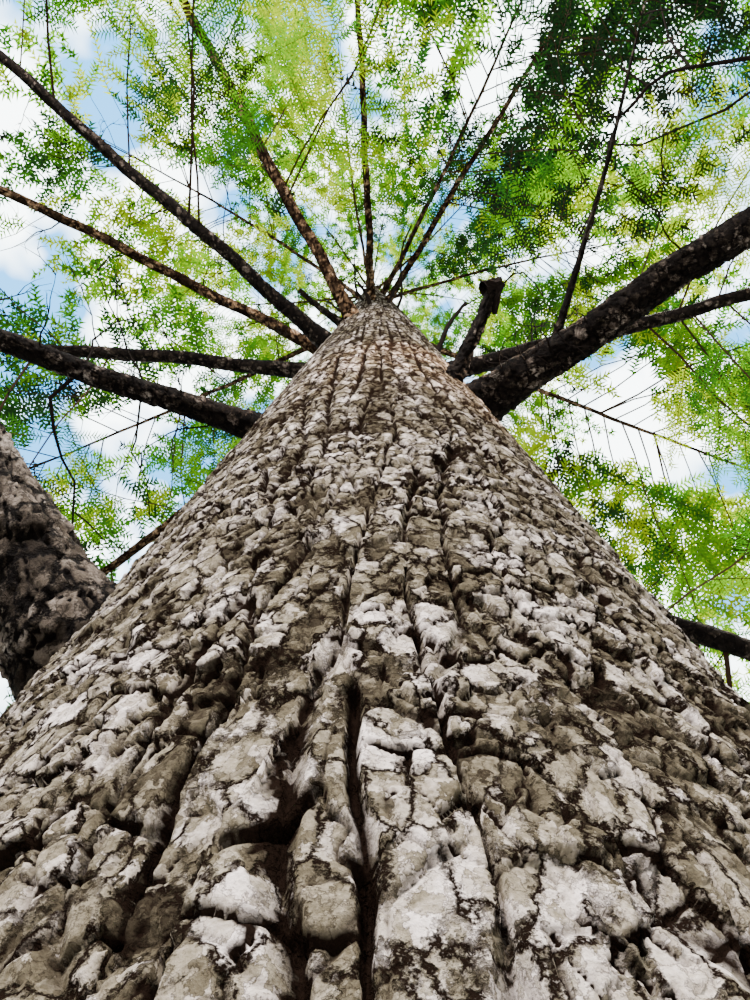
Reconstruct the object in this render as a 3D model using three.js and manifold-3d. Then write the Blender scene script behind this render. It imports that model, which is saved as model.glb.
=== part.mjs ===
// A whole hemlock tree: the trunk, its dead stubs, its lower boughs and its masses of foliage.
// Millimetres, +Z up. The origin is the middle of the flat cut at ground level.
// Azimuths are in degrees, turning from +X towards +Y.
import * as THREE from "three";
import { mergeVertices } from "three/addons/utils/BufferGeometryUtils.js";
import Module from "manifold-3d";

const wasm = await Module();
wasm.setup();

// Trunk
const TREE_HEIGHT = 20000;
const TRUNK_TAPER = 0.01348; // radius lost for each millimetre climbed
const TRUNK_TIP_RADIUS = 7;
const TRUNK_SIDES = 20;
const TRUNK_RINGS = 34;
const RING_CROWDING = 1.35; // above 1, the rings lie closer together near the ground
const LEAN_X = -60; // how far the top stands off the foot
const LEAN_Y = 140;
const SWAY = 45;
const NOD = 260; // how far the leader hangs over, as a hemlock's does
const NOD_LENGTH = 750;
const FLARE_SPREAD = 95;
const FLARE_HEIGHT = 330;
const FLARE_LOBES = 5;
const LOBE_DEPTH = 0.32;
const LOBE_TURN = 0.6;

// Limbs
const FIT_GAP = 0.3; // clear space where one piece meets the next
const BOUGH_SIDES = 8;
const BOUGH_STEP = 190;
const STUB_SIDES = 6;
const STUB_STEPS = 4;
const COLLAR_SWELL = 0.45; // how much thicker a limb is where it leaves the trunk
const COLLAR_LENGTH = 60;
const LIMB_TIP_SHARE = 0.12; // a limb's radius at its tip, as a share of that at its root
const CUT_MARGIN = 3; // fit gaps that a bough is widened by before a side bough is cut clear of it

// Foliage
const SEED = 20260;
const SEED_STEP = 7919; // from one limb's stream of numbers to the next
const STEM_STEPS = 4;
const TWIG_SPACING = 420;
const TWIG_LEAST = 4;
const TWIG_MOST = 7;
const TWIG_THICKNESS = 0.012; // a twig's radius, as a share of its length
const TWIG_TAPER = 0.7;
const TWIG_BARE = 0.3; // share of a twig that its spray leaves bare
const TWIG_SUNK = 0.06; // share of a twig that runs on into its spray
const FIRST_TWIG = 0.4; // where the first twig leaves, in steps from one twig to the next
const LENGTH_LEAST = 0.85; // twigs vary between these shares of their length
const LENGTH_MOST = 1.15;
const PLUMP_LEAST = 0.45; // length of the last twigs, as a share of the longest
const PLUMP_START = 0.2; // where on its half wave that length starts at the foot of the mass
const PLUMP_RUN = 0.85; // and how much of the wave it runs through to the tip
const SPREAD_INNER = 64; // angle between a twig and its stem, at the stem's start
const SPREAD_OUTER = 30; // and at its tip
const SPREAD_JITTER = 14;
const RISE_KEPT = 0.5; // how much of its limb's slope a twig keeps
const DROOP_LEAST = 0.1; // how steeply the twigs hang
const DROOP_MOST = 0.75;
const ROLL = 44; // sprays lean up to half of this to either side
const SPRAY_LENGTH = 1.05; // of its twig's length
const SPRAY_THICKNESS = 0.15; // of its own length
const SPRAY_WIDTH = 0.52;
const SPRAY_HEART = 0.45; // where along it a spray is thickest
const SPRAY_SIZES = [1, 0.8, 0.6, 0.45]; // the sizes that are tried until a spray fits
const SPRAY_OUTLINE = [
  [1, 0],
  [0.69, 0.37],
  [0.52, 0.19],
  [0.33, 0.5],
  [0, 0],
  [0.33, -0.5],
  [0.52, -0.19],
  [0.69, -0.37],
];
const STALK_PLACES = [0.25, 0.5, 0.75]; // where a twig's bare part is tested
const LEADER_AIM = 0.94; // the last spray points the way that its limb runs from here to its tip
const LEADER_BACK = 0.6; // and starts this share of its length before the tip
const SPACE_STEPS = 8;
const SPACE_MARGIN = 12; // what a mass leaves free on its side of the line to the next
const BARE_MARGIN = 30; // what a spray leaves free round the bare part of another limb
const BARE_SHARE = 0.13; // and, of its own length, besides
const TRUNK_SHARE = 0.25; // and round the trunk, as a share of its own limb's bare length

// Upper crown, whose masses grow straight from the trunk
const CROWN_MASSES = 27;
const CROWN_LOW = 6500;
const CROWN_HIGH = 19500;
const CROWN_RADIUS = 3900;
const CROWN_WIDEST = 5200;
const CROWN_CURVE = 0.75;
const CROWN_CROWDING = 0.94; // below 1, the masses lie closer together near the top
const GOLDEN_TURN = 137.508;
const FIRST_TURN = 20;
// Values at the bottom and at the top of the upper crown
const CROWN_LIMBS = {
  radius: [24, 8],
  rise: [0.3, 0.8],
  sag: [0.42, 0.55],
  width: [0.62, 0.75],
  bareShare: [0.3, 0.2],
};
const CROWN_BOW = 60;

const BARK = new THREE.MeshStandardMaterial({ color: "#8d7f72", roughness: 0.95, metalness: 0 });
const LIMB_BARK = new THREE.MeshStandardMaterial({ color: "#4a4038", roughness: 0.95, metalness: 0 });
const DEAD_WOOD = new THREE.MeshStandardMaterial({ color: "#574c43", roughness: 0.9, metalness: 0 });
const NEEDLES = new THREE.MeshStandardMaterial({ color: "#6f9a2c", roughness: 0.7, metalness: 0 });
const HIGH_NEEDLES = new THREE.MeshStandardMaterial({ color: "#4f7d2c", roughness: 0.7, metalness: 0 });

// The lower boughs. height and at place the root on the trunk, heading is the way the bough runs,
// rise is its slope at the root, sag how far its end hangs below that slope, as a share of its reach,
// bow its sideways bend, and bare is where it enters its foliage. Lengths run from the root.
const BOUGH_KEYS = ["name", "height", "at", "heading", "radius", "rise", "sag", "bow", "reach", "bare"];
const BOUGHS = [
  ["low_left", 1780, 210, 224, 33, 0.84, 0.5, -60, 2700, 900],
  ["low_right", 2400, 24, 19, 19, 0.1, 0.26, -40, 2500, 200],
  ["left", 2670, 219, 200, 20, -0.22, -0.04, 30, 2900, 700],
  ["right", 2755, -38, -34, 34, -0.08, 0.1, -30, 3500, 1000],
  ["low_back", 2560, 112, 108, 27, 0.12, 0.3, 70, 3300, 700],
  ["level_left", 3480, 228, 182, 21, 0.05, 0.16, 60, 3500, 560],
  ["right_upper", 3460, -34, -15, 24, 0.22, 0.28, 40, 3600, 560],
  ["back_right", 3120, 62, 58, 24, 0.14, 0.3, -60, 3500, 620],
  ["left_fork", 3900, 209, 204, 20, 0.12, 0.24, 60, 3500, 460],
  ["left_long", 3720, 227, 221, 24, 0.24, 0.16, -30, 3600, 430],
  ["front_left", 4300, 243, 243, 26, 0.3, 0.2, -50, 3700, 360],
  ["back_left", 4050, 140, 142, 24, 0.2, 0.3, 50, 3700, 620],
  ["front", 5450, 256, 266, 22, 0.16, 0.26, 40, 3600, 480],
  ["front_right", 5600, -80, -56, 19, 0.25, 0.24, -50, 3600, 480],
];
const LOWER_ENTRY = 60; // from a bough's end to the first of its foliage
const LOWER_WIDTH = 0.44; // length of a mass's longest twigs, as a share of the mass

// A side bough that leaves the right bough and carries the foliage hanging over the foot of the tree
const SIDE_BOUGH = {
  name: "right_side",
  parent: "right",
  leaves: 260,
  heading: -76,
  radius: 7,
  rise: 0.34,
  sag: 0.12,
  bow: 15,
  reach: 720,
  bare: 80,
};
const SIDE_STEPS = 2;
const SIDE_ENTRY = 30;
const SIDE_WIDTH = 0.5;

// Dead stubs: short broken limbs with no foliage. tip is the radius at the break, as a share
// of that at the root
const STUB_KEYS = ["name", "height", "at", "heading", "radius", "rise", "sag", "bow", "reach", "tip"];
const DEAD_STUBS = [
  ["dead_stub_right", 2590, -63, -57, 13, 0.95, 0.25, 16, 290, 0.8],
  ["dead_stub_left", 4640, 233, 214, 18, 0.35, 0.1, -10, 340, 0.6],
];
const STUB_END = 0.98;

const radians = (degrees) => (degrees * Math.PI) / 180;
const blend = (from, to, share) => from + (to - from) * share;
const named = (keys, row) => Object.fromEntries(keys.map((key, place) => [key, row[place]]));

// A repeatable stream of numbers from 0 to 1
function numberStream(seed) {
  let state = seed;
  return () => {
    state = (state * 48271) % 2147483647;
    return state / 2147483647;
  };
}

// Trunk

function trunkCentre(height) {
  const share = height / TREE_HEIGHT;
  const nodding = Math.max(0, height - TREE_HEIGHT + NOD_LENGTH) / NOD_LENGTH;
  return new THREE.Vector3(
    LEAN_X * share ** 2 + SWAY * share * Math.sin(8 * share) + NOD * nodding ** 2,
    LEAN_Y * share ** 2,
    height,
  );
}

function stemRadius(height) {
  return Math.max(TRUNK_TIP_RADIUS, TRUNK_TAPER * (TREE_HEIGHT - height));
}

function trunkRadius(height, angle) {
  const lobes = 1 + LOBE_DEPTH * Math.cos(FLARE_LOBES * angle + LOBE_TURN);
  return stemRadius(height) + FLARE_SPREAD * Math.exp(-height / FLARE_HEIGHT) * lobes;
}

// The trunk's rings, each a flat loop of points, made wider by grow all round
function trunkRings(grow) {
  const rings = [];
  for (let ring = 0; ring <= TRUNK_RINGS; ring += 1) {
    const height = TREE_HEIGHT * (ring / TRUNK_RINGS) ** RING_CROWDING;
    const centre = trunkCentre(height);
    const points = [];
    for (let side = 0; side < TRUNK_SIDES; side += 1) {
      const angle = (2 * Math.PI * side) / TRUNK_SIDES;
      const radius = trunkRadius(height, angle) + grow;
      points.push(new THREE.Vector3(Math.cos(angle) * radius, Math.sin(angle) * radius, 0).add(centre));
    }
    rings.push(points);
  }
  return rings;
}

// Solids

function indexedGeometry(points, index) {
  const geometry = new THREE.BufferGeometry();
  geometry.setAttribute("position", new THREE.Float32BufferAttribute(points.flatMap((p) => p.toArray()), 3));
  geometry.setIndex(index);
  return geometry;
}

// A closed skin over a row of loops with the same number of points, with a flat end at each end
function loft(rings) {
  const sides = rings[0].length;
  const last = (rings.length - 1) * sides;
  const index = [];
  for (let side = 0; side < sides; side += 1) {
    const next = (side + 1) % sides;
    for (let start = 0; start < last; start += sides) {
      index.push(start + side, start + next, start + sides + next);
      index.push(start + side, start + sides + next, start + sides + side);
    }
  }
  for (let side = 1; side < sides - 1; side += 1) {
    index.push(0, side + 1, side);
    index.push(last, last + side, last + side + 1);
  }
  return indexedGeometry(rings.flat(), index);
}

function toSolid(geometry) {
  const bare = geometry.clone();
  bare.deleteAttribute("normal");
  bare.deleteAttribute("uv");
  const merged = mergeVertices(bare);
  return new wasm.Manifold(
    new wasm.Mesh({
      numProp: 3,
      vertProperties: new Float32Array(merged.attributes.position.array),
      triVerts: new Uint32Array(merged.index.array),
    }),
  );
}

// The largest whole piece of a solid, as a geometry
function toGeometry(solid) {
  const pieces = solid.decompose();
  const largest = pieces.reduce((best, piece) => (piece.volume() > best.volume() ? piece : best));
  const mesh = largest.getMesh();
  const geometry = new THREE.BufferGeometry();
  geometry.setAttribute("position", new THREE.Float32BufferAttribute(Array.from(mesh.vertProperties), 3));
  geometry.setIndex(Array.from(mesh.triVerts));
  return geometry;
}

function addNode(group, name, geometry, material, place) {
  geometry.computeVertexNormals();
  const mesh = new THREE.Mesh(geometry, material);
  mesh.name = name;
  mesh.position.copy(place);
  group.add(mesh);
}

// Limbs: a limb is one curve from inside the trunk to the tip of its foliage

function rootOnTrunk(height, at) {
  const inside = stemRadius(height) / 2;
  const turn = radians(at);
  return trunkCentre(height).add(new THREE.Vector3(Math.cos(turn) * inside, Math.sin(turn) * inside, 0));
}

function limbPoint(limb, along) {
  const turn = radians(limb.heading);
  const share = along / limb.reach;
  const aside = limb.bow * Math.sin(Math.PI * share);
  return new THREE.Vector3(
    limb.root.x + along * Math.cos(turn) - aside * Math.sin(turn),
    limb.root.y + along * Math.sin(turn) + aside * Math.cos(turn),
    limb.root.z + along * limb.rise - limb.sag * limb.reach * share ** 2,
  );
}

function limbRadius(limb, along) {
  const share = along / limb.reach;
  const clear = Math.max(0, along - limb.buried);
  const collar = 1 + COLLAR_SWELL * Math.exp(-clear / COLLAR_LENGTH);
  return limb.radius * blend(1, limb.tip ?? LIMB_TIP_SHARE, share) * collar;
}

function limbStation(limb, along) {
  const ahead = limbPoint(limb, along + 1).sub(limbPoint(limb, along - 1)).normalize();
  return { point: limbPoint(limb, along), ahead, radius: limbRadius(limb, along) };
}

// A tube through a row of stations, each a point, the way ahead and a radius, measured from the origin
function tube(stations, sides, origin) {
  const rings = stations.map(({ point, ahead, radius }) => {
    const across = new THREE.Vector3(0, 0, 1).cross(ahead).normalize();
    const over = ahead.clone().cross(across);
    const ring = [];
    for (let side = 0; side < sides; side += 1) {
      const angle = (2 * Math.PI * side) / sides;
      ring.push(
        point
          .clone()
          .sub(origin)
          .addScaledVector(across, Math.cos(angle) * radius)
          .addScaledVector(over, Math.sin(angle) * radius),
      );
    }
    return ring;
  });
  return loft(rings);
}

function limbTube(limb, from, to, steps, sides) {
  const places = Array.from({ length: steps + 1 }, (_, step) => blend(from, to, step / steps));
  return tube(places.map((along) => limbStation(limb, along)), sides, limb.root);
}

// Foliage: each mass keeps to its own space, the points nearer to the leafy part of its limb than to that of
// any other, and clear of the trunk and of the others' bare parts

function limbLine(limb, from, to) {
  const shares = Array.from({ length: SPACE_STEPS + 1 }, (_, step) => step / SPACE_STEPS);
  return shares.map((share) => limbPoint(limb, blend(from, to, share)));
}

function lineDistance(line, point) {
  let nearest = Infinity;
  const closest = new THREE.Vector3();
  for (let step = 1; step < line.length; step += 1) {
    new THREE.Line3(line[step - 1], line[step]).closestPointToPoint(point, true, closest);
    nearest = Math.min(nearest, closest.distanceTo(point));
  }
  return nearest;
}

function inOwnSpace(limb, limbs, point, clearance) {
  const centre = trunkCentre(point.z);
  const fromTrunk = Math.hypot(point.x - centre.x, point.y - centre.y);
  const trunkSide = stemRadius(point.z) + limb.foliageFrom * TRUNK_SHARE;
  if (point.z < 0 || (point.z < TREE_HEIGHT && fromTrunk < trunkSide)) {
    return false;
  }
  const own = lineDistance(limb.leafyLine, point) + SPACE_MARGIN;
  return limbs.every(
    (other) =>
      other === limb ||
      (lineDistance(other.leafyLine, point) - other.radius > own &&
        lineDistance(other.bareLine, point) - other.radius > clearance),
  );
}

// One spray: a flat toothed blade, thickest along its middle
function sprayPoints(spray) {
  const { root, ahead, across, length } = spray;
  return SPRAY_OUTLINE.map(([along, aside]) =>
    root
      .clone()
      .addScaledVector(ahead, along * length)
      .addScaledVector(across, aside * length * SPRAY_WIDTH),
  );
}

// Points along the middle of a spray
function sprayMiddle(spray) {
  return Array.from({ length: SPACE_STEPS - 1 }, (_, step) =>
    spray.root.clone().addScaledVector(spray.ahead, (spray.length * (step + 1)) / SPACE_STEPS),
  );
}

function spraySolid(spray, origin) {
  const rim = sprayPoints(spray);
  const over = spray.ahead.clone().cross(spray.across);
  const heart = spray.root.clone().addScaledVector(spray.ahead, SPRAY_HEART * spray.length);
  const half = (spray.length * SPRAY_THICKNESS) / 2;
  const points = [
    ...rim,
    heart.clone().addScaledVector(over, half),
    heart.clone().addScaledVector(over, -half),
  ];
  const index = [];
  for (let corner = 0; corner < rim.length; corner += 1) {
    const next = (corner + 1) % rim.length;
    index.push(corner, next, rim.length);
    index.push(next, corner, rim.length + 1);
  }
  return toSolid(indexedGeometry(points.map((point) => point.sub(origin)), index));
}

// The twigs of a limb, by turns to its left and its right, longest a third of the way along.
// Each has the spray that it ends in.
function growTwigs(limb) {
  const draw = numberStream(SEED + SEED_STEP * limb.number);
  const twigs = [];
  const foliageLength = limb.reach - limb.foliageFrom;
  const count = Math.min(TWIG_MOST, Math.max(TWIG_LEAST, Math.round(foliageLength / TWIG_SPACING)));
  for (let number = 0; number < count; number += 1) {
    const share = (number + FIRST_TWIG) / count;
    const side = number % 2 === 0 ? 1 : -1;
    const spread = blend(SPREAD_INNER, SPREAD_OUTER, share) + SPREAD_JITTER * (draw() - 0.5);
    const wave = Math.sin(Math.PI * Math.min(1, PLUMP_START + PLUMP_RUN * share));
    const plump = blend(PLUMP_LEAST, 1, wave);
    const length = limb.width * foliageLength * plump * blend(LENGTH_LEAST, LENGTH_MOST, draw());
    const slope = limb.rise * RISE_KEPT - blend(DROOP_LEAST, DROOP_MOST, draw());
    const turn = radians(limb.heading + side * spread);
    const start = limbPoint(limb, limb.foliageFrom + share * foliageLength);
    const ahead = new THREE.Vector3(Math.cos(turn), Math.sin(turn), slope).normalize();
    const tilt = radians(ROLL * (draw() - 0.5));
    const level = new THREE.Vector3(0, 0, 1).cross(ahead).normalize();
    const across = level.applyAxisAngle(ahead, tilt);
    twigs.push({ start, ahead, across, length });
  }
  return twigs;
}

// The spray at the end of a twig, shortened until it fits its mass's space, or nothing
function fittedSpray(limb, limbs, twig, from, length) {
  for (const size of SPRAY_SIZES) {
    const spray = {
      root: twig.start.clone().addScaledVector(twig.ahead, from),
      ahead: twig.ahead,
      across: twig.across,
      length: length * size,
    };
    const middle = STALK_PLACES.map((along) => twig.start.clone().lerp(spray.root, along));
    const tested = [...sprayPoints(spray), ...sprayMiddle(spray), ...middle];
    const clearance = BARE_MARGIN + BARE_SHARE * spray.length;
    if (tested.every((point) => inOwnSpace(limb, limbs, point, clearance))) {
      return spray;
    }
  }
  return null;
}

function foliageSolid(limb, limbs, trunkSpace) {
  const stemFrom = limb.bare > 0 ? limb.bare + FIT_GAP : 0;
  let solid = toSolid(limbTube(limb, stemFrom, limb.reach, STEM_STEPS, 3));
  if (limb.bare === 0) {
    solid = solid.subtract(trunkSpace.translate(limb.root.clone().negate().toArray()));
  }
  for (const twig of growTwigs(limb)) {
    const spray = fittedSpray(limb, limbs, twig, twig.length * TWIG_BARE, twig.length * SPRAY_LENGTH);
    if (spray) {
      const end = twig.start.clone().addScaledVector(twig.ahead, twig.length * (TWIG_BARE + TWIG_SUNK));
      const thickness = twig.length * TWIG_THICKNESS;
      const stations = [
        { point: twig.start, ahead: twig.ahead, radius: thickness },
        { point: end, ahead: twig.ahead, radius: thickness * TWIG_TAPER },
      ];
      const stalk = tube(stations, 3, limb.root);
      solid = solid.add(toSolid(stalk)).add(spraySolid(spray, limb.root));
    }
  }
  const tip = limbPoint(limb, limb.reach);
  const ahead = tip.clone().sub(limbPoint(limb, limb.reach * LEADER_AIM)).normalize();
  const across = new THREE.Vector3(0, 0, 1).cross(ahead).normalize();
  const leader = { start: tip, ahead, across };
  const leaderLength = limb.width * (limb.reach - limb.foliageFrom);
  const spray = fittedSpray(limb, limbs, leader, -leaderLength * LEADER_BACK, leaderLength);
  return spray ? solid.add(spraySolid(spray, limb.root)) : solid;
}

// The tree

// How far the crown reaches from the trunk at a height
function crownReach(height) {
  const share = Math.min(1, (TREE_HEIGHT - height) / (TREE_HEIGHT - CROWN_WIDEST));
  return CROWN_RADIUS * share ** CROWN_CURVE;
}

function lowerLimbs() {
  return BOUGHS.map((row) => {
    const bough = named(BOUGH_KEYS, row);
    return {
      ...bough,
      root: rootOnTrunk(bough.height, bough.at),
      buried: stemRadius(bough.height) / 2,
      foliageFrom: bough.bare + LOWER_ENTRY,
      width: LOWER_WIDTH,
    };
  });
}

function sideLimb(limbs) {
  const parent = limbs.find((limb) => limb.name === SIDE_BOUGH.parent);
  return {
    ...SIDE_BOUGH,
    root: limbPoint(parent, SIDE_BOUGH.leaves),
    buried: 0,
    foliageFrom: SIDE_BOUGH.bare + SIDE_ENTRY,
    width: SIDE_WIDTH,
  };
}

function upperLimbs() {
  const limbs = [];
  for (let number = 0; number < CROWN_MASSES; number += 1) {
    const share = number / (CROWN_MASSES - 1);
    const height = blend(CROWN_LOW, CROWN_HIGH, share ** CROWN_CROWDING);
    const reach = crownReach(height);
    const at = number * GOLDEN_TURN + FIRST_TURN;
    limbs.push({
      name: `crown_${String(number + 1).padStart(2, "0")}`,
      heading: at,
      radius: blend(...CROWN_LIMBS.radius, share),
      rise: blend(...CROWN_LIMBS.rise, share),
      sag: blend(...CROWN_LIMBS.sag, share),
      bow: number % 2 === 0 ? CROWN_BOW : -CROWN_BOW,
      reach,
      bare: 0,
      root: rootOnTrunk(height, at),
      buried: stemRadius(height) / 2,
      foliageFrom: reach * blend(...CROWN_LIMBS.bareShare, share),
      width: blend(...CROWN_LIMBS.width, share),
    });
  }
  return limbs;
}

// A limb cut clear of a space, here moved to where the limb's root is the origin
function cutClear(geometry, space, origin) {
  return toSolid(geometry).subtract(space.translate(origin.clone().negate().toArray()));
}

function boughTube(bough) {
  return limbTube(bough, 0, bough.bare, Math.ceil(bough.bare / BOUGH_STEP), BOUGH_SIDES);
}

function buildTree() {
  const tree = new THREE.Group();
  const trunk = toSolid(loft(trunkRings(0)));
  const trunkSpace = toSolid(loft(trunkRings(FIT_GAP)));
  addNode(tree, "trunk", toGeometry(trunk), BARK, new THREE.Vector3());

  const lower = lowerLimbs();
  const side = sideLimb(lower);
  const limbs = [...lower, side, ...upperLimbs()];
  limbs.forEach((limb, number) => {
    limb.number = number + 1;
    limb.bareLine = limbLine(limb, 0, limb.foliageFrom);
    limb.leafyLine = limbLine(limb, limb.foliageFrom, limb.reach);
  });

  // Boughs, cut clear of the trunk or of the bough that they leave
  for (const limb of lower) {
    const bough = cutClear(boughTube(limb), trunkSpace, limb.root);
    addNode(tree, `bough_${limb.name}`, toGeometry(bough), LIMB_BARK, limb.root);
  }
  const parent = lower.find((limb) => limb.name === side.parent);
  const widened = boughTube({ ...parent, radius: parent.radius + FIT_GAP * CUT_MARGIN });
  const parentSpace = toSolid(widened).translate(parent.root.toArray());
  const sideTube = limbTube(side, 0, side.bare, SIDE_STEPS, BOUGH_SIDES);
  const sideBough = cutClear(sideTube, parentSpace, side.root);
  addNode(tree, `bough_${side.name}`, toGeometry(sideBough), LIMB_BARK, side.root);

  for (const row of DEAD_STUBS) {
    const stub = named(STUB_KEYS, row);
    stub.root = rootOnTrunk(stub.height, stub.at);
    stub.buried = stemRadius(stub.height) / 2;
    const tubeShape = limbTube(stub, 0, stub.reach * STUB_END, STUB_STEPS, STUB_SIDES);
    const dead = cutClear(tubeShape, trunkSpace, stub.root);
    addNode(tree, stub.name, toGeometry(dead), DEAD_WOOD, stub.root);
  }

  // Foliage masses
  for (const limb of limbs) {
    const geometry = toGeometry(foliageSolid(limb, limbs, trunkSpace));
    const material = limb.bare > 0 ? NEEDLES : HIGH_NEEDLES;
    addNode(tree, `foliage_${limb.name}`, geometry, material, limb.root);
  }
  return tree;
}

export default buildTree();
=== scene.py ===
import math

import bpy
import numpy as np
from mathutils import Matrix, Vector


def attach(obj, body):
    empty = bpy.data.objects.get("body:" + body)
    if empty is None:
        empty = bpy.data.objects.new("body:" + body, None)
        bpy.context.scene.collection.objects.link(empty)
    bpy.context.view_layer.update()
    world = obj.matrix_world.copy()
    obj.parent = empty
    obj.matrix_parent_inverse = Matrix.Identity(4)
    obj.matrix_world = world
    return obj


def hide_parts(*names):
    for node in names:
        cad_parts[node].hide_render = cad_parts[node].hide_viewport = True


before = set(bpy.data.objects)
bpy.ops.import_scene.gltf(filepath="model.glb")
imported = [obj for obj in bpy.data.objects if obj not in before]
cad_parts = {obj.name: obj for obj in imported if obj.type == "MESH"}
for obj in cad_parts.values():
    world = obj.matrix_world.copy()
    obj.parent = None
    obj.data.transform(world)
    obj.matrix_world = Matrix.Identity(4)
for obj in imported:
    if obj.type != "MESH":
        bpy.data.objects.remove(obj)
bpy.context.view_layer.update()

# Lengths are in millimetres until a mesh is made, and azimuths turn from +X towards +Y.
MM = 0.001

# Trunk
TREE_HEIGHT = 20000
TRUNK_TAPER = 0.01348
TRUNK_TIP_RADIUS = 7
LEAN_X = -60
LEAN_Y = 140
SWAY = 45
SWAY_WAVES = 8
NOD = 260
NOD_LENGTH = 750
FLARE_SPREAD = 95
FLARE_HEIGHT = 330
FLARE_LOBES = 5
LOBE_DEPTH = 0.32
LOBE_TURN = 0.6

# Limbs
COLLAR_SWELL = 0.45
COLLAR_LENGTH = 60
LIMB_TIP_SHARE = 0.12

# Foliage, as the solids have it
SEED = 20260
TWIG_SPACING = 420
TWIG_LEAST = 4
TWIG_MOST = 7
TWIG_BARE = 0.3
SPREAD = (64, 30)
DROOP = (0.1, 0.75)
ROLL = 44
SPRAY_LENGTH = 1.05
SPRAY_WIDTH = 0.52
FIRST_TWIG = 0.4
LENGTHS = (0.85, 1.15)
PLUMP_LEAST = 0.45
PLUMP_START = 0.2
PLUMP_RUN = 0.85
SPREAD_JITTER = 14
RISE_KEPT = 0.5
SPRAY_SIZES = (1, 0.8, 0.6, 0.45)
STALK_PLACES = (0.25, 0.5, 0.75)
LEADER_AIM = 0.94
LEADER_BACK = 0.6
SPACE_STEPS = 8
SPACE_MARGIN = 12
BARE_MARGIN = 30
BARE_SHARE = 0.13
TRUNK_SHARE = 0.25
LOWER_ENTRY = 60
LOWER_WIDTH = 0.44
SIDE_ENTRY = 30
SIDE_WIDTH = 0.5

# Upper crown
CROWN_MASSES = 27
CROWN_LOW = 6500
CROWN_HIGH = 19500
CROWN_RADIUS = 3900
CROWN_WIDEST = 5200
CROWN_CURVE = 0.75
CROWN_CLOSING = 0.94
CROWN_BOW = 60
GOLDEN_TURN = 137.508
FIRST_TURN = 20

# Finer growth
BETWEEN_LOW = 26  # twigs between those of the solids, for each lower limb
BETWEEN_HIGH = 20
BETWEEN = {
    "right_side": 18, "low_right": 18, "front_right": 20, "back_right": 44, "low_back": 40, "right_upper": 50,
    "crown_01": 38, "crown_03": 34, "crown_06": 38, "crown_09": 30, "crown_11": 32,
}
BETWEEN_LENGTH = 0.8
SHRUNK = (1, 0.5, 0.28)  # sizes that a twig between the others is tried at
FINE_EYE = np.array([0.0, -380.0, 1450.0])  # growth is finest near this point at the foot of the tree
FINE_WAY = np.array([0.0, 0.314, 0.949])  # and round this line from it, up the trunk
FINE_UP = np.array([0.0, -0.949, 0.314])
FINE_WIDTH = 0.52  # half the width and height of the space round that line, as shares of the way along it
FINE_HEIGHT = 0.69
FINE_REACH = 1500  # up to this far from it, needles are life-size
COARSEST = 4.2
COARSER_ASIDE = 3.2  # how much coarser growth is outside that space
# Gaps where the sky shows: across and up from that line, their radius, and the share of twigs left
GAPS = [
    (-0.35, 0.63, 0.07, 0.3), (-0.36, 0.55, 0.05, 0.2), (-0.01, 0.65, 0.06, 0.1), (0.0, 0.56, 0.045, 0.15),
    (0.43, 0.6, 0.07, 0.4), (0.36, 0.52, 0.05, 0.4), (-0.5, 0.32, 0.04, 0.2), (-0.35, 0.25, 0.04, 0.4),
    (0.49, 0.25, 0.045, 0.2), (0.35, 0.18, 0.035, 0.4), (-0.49, 0.04, 0.035, 0.4), (-0.34, 0.04, 0.04, 0.4),
    (-0.33, -0.06, 0.04, 0.4), (0.08, 0.62, 0.04, 0.4),
]
TWIGLET_SPACING = 42
SIDE_SPACING = 14
SIDE_LONGEST = 62
NEEDLE_SPACING = 2.9
NEEDLE_LENGTH = 17
NEEDLE_WIDTH = 2.6
NEAR_COARSE = 1.3  # needles this coarse or finer have blunt tips
# How much closer the twigs stand in some masses
CLOSER = {"right_side": 1.3, "low_right": 1.15, "front_left": 0.85, "left_long": 0.85, "left_fork": 0.85}

LIMB_KEYS = ("name", "height", "at", "heading", "radius", "rise", "sag", "bow", "reach", "bare")
BOUGH_ROWS = [
    ("low_left", 1780, 210, 224, 33, 0.84, 0.5, -60, 2700, 900),
    ("low_right", 2400, 24, 19, 19, 0.1, 0.26, -40, 2500, 200),
    ("left", 2670, 219, 200, 20, -0.22, -0.04, 30, 2900, 700),
    ("right", 2755, -38, -34, 34, -0.08, 0.1, -30, 3500, 1000),
    ("low_back", 2560, 112, 108, 27, 0.12, 0.3, 70, 3300, 700),
    ("level_left", 3480, 228, 182, 21, 0.05, 0.16, 60, 3500, 560),
    ("right_upper", 3460, -34, -15, 24, 0.22, 0.28, 40, 3600, 560),
    ("back_right", 3120, 62, 58, 24, 0.14, 0.3, -60, 3500, 620),
    ("left_fork", 3900, 209, 204, 20, 0.12, 0.24, 60, 3500, 460),
    ("left_long", 3720, 227, 221, 24, 0.24, 0.16, -30, 3600, 430),
    ("front_left", 4300, 243, 243, 26, 0.3, 0.2, -50, 3700, 360),
    ("back_left", 4050, 140, 142, 24, 0.2, 0.3, 50, 3700, 620),
    ("front", 5450, 256, 266, 22, 0.16, 0.26, 40, 3600, 480),
    ("front_right", 5600, -80, -56, 19, 0.25, 0.24, -50, 3600, 480),
]
# The side bough, which leaves another bough this far along it
SIDE_ROW = ("right_side", 0, 0, -76, 7, 0.34, 0.12, 15, 720, 80)
SIDE_PARENT = "right"
SIDE_LEAVES = 260
STUB_KEYS = (*LIMB_KEYS[:-1], "tip")
STUB_ROWS = [
    ("dead_stub_right", 2590, -63, -57, 13, 0.95, 0.25, 16, 290, 0.8),
    ("dead_stub_left", 4640, 233, 214, 18, 0.35, 0.1, -10, 340, 0.6),
]

UP = np.array([0.0, 0.0, 1.0])


def blend(start, end, share):
    return start + (end - start) * share


def smooth_step(low, high, value):
    share = np.clip((value - low) / (high - low), 0, 1)
    return share**2 * (3 - 2 * share)


def unit(vectors):
    return vectors / np.linalg.norm(vectors, axis=-1, keepdims=True)


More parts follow.
